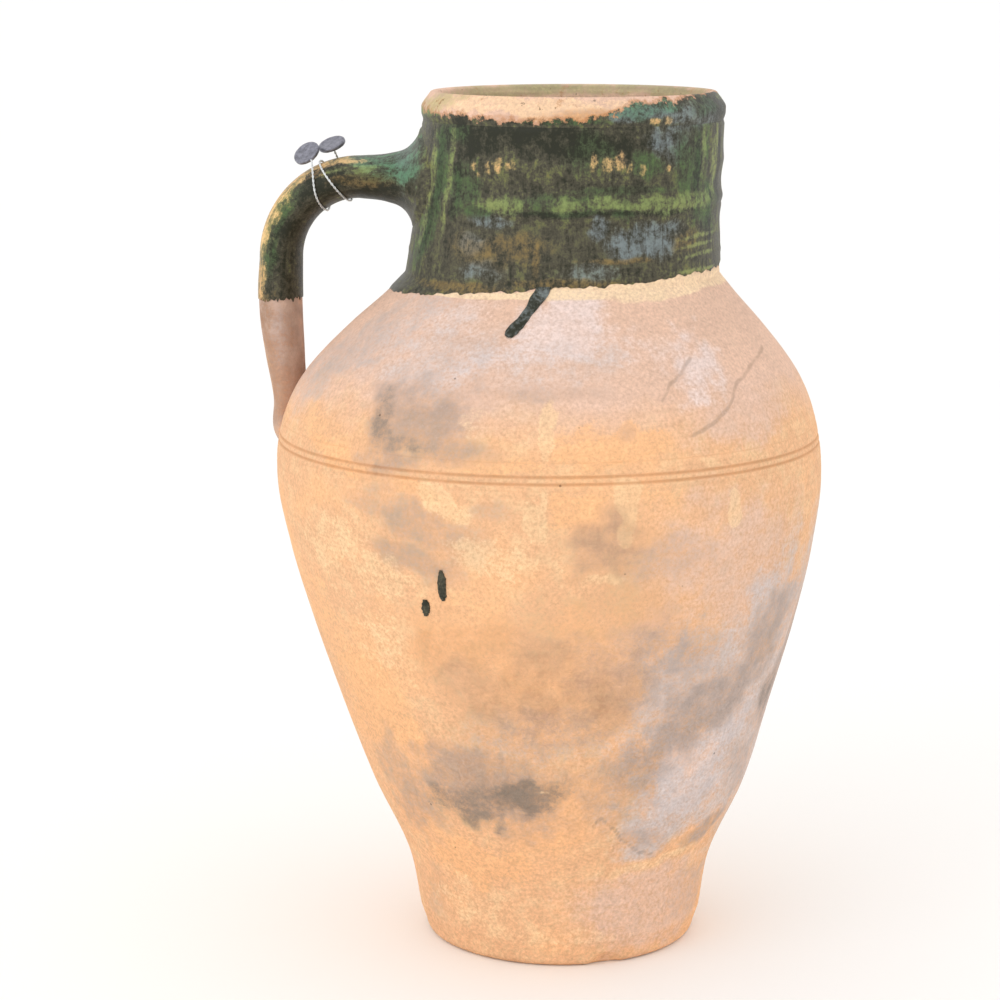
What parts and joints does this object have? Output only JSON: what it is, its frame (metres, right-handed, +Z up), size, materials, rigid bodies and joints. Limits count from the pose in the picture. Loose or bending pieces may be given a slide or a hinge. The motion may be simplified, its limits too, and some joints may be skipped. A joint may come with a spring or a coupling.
{
  "type": "olive jar",
  "caption": "Tall earthenware storage jar with a swelling belly, glazed neck, bevelled rim and pulled side handle that carries a wire with lead seals.",
  "frame": {"origin": "middle of the flat base, on the floor", "axes": "+Z up, the handle points to -X, and the picture looks along +Y from 8 degrees towards +X"},
  "size_m": [0.3471, 0.3332, 0.5208],
  "materials": {
    "clay": "fired, unglazed",
    "green_glaze": "glossy lead glaze",
    "lining_glaze": "glossy lead glaze",
    "lead": "crimped lead",
    "wire": "twisted galvanised wire"
  },
  "bodies": {
    "jar": {"base_slab": "clay", "lower_wall": "clay", "upper_wall": "clay", "neck_collar": "clay", "rim_lip": "clay", "handle": "clay", "neck_glaze": "green_glaze", "handle_glaze": "green_glaze", "glaze_run": "green_glaze", "upper_splash": "green_glaze", "lower_splash": "green_glaze", "inner_glaze": "lining_glaze"},
    "seal_loop": {"seal_wire": "wire", "front_seal": "lead", "back_seal": "lead"}
  },
  "joints": [
    {"name": "seal_slide", "type": "hinge", "parent": "jar", "child": "seal_loop", "pos_m": [-0.124, 0, 0.4175], "axis": [0, -1, 0], "range_deg": [0, 45]}
  ]
}
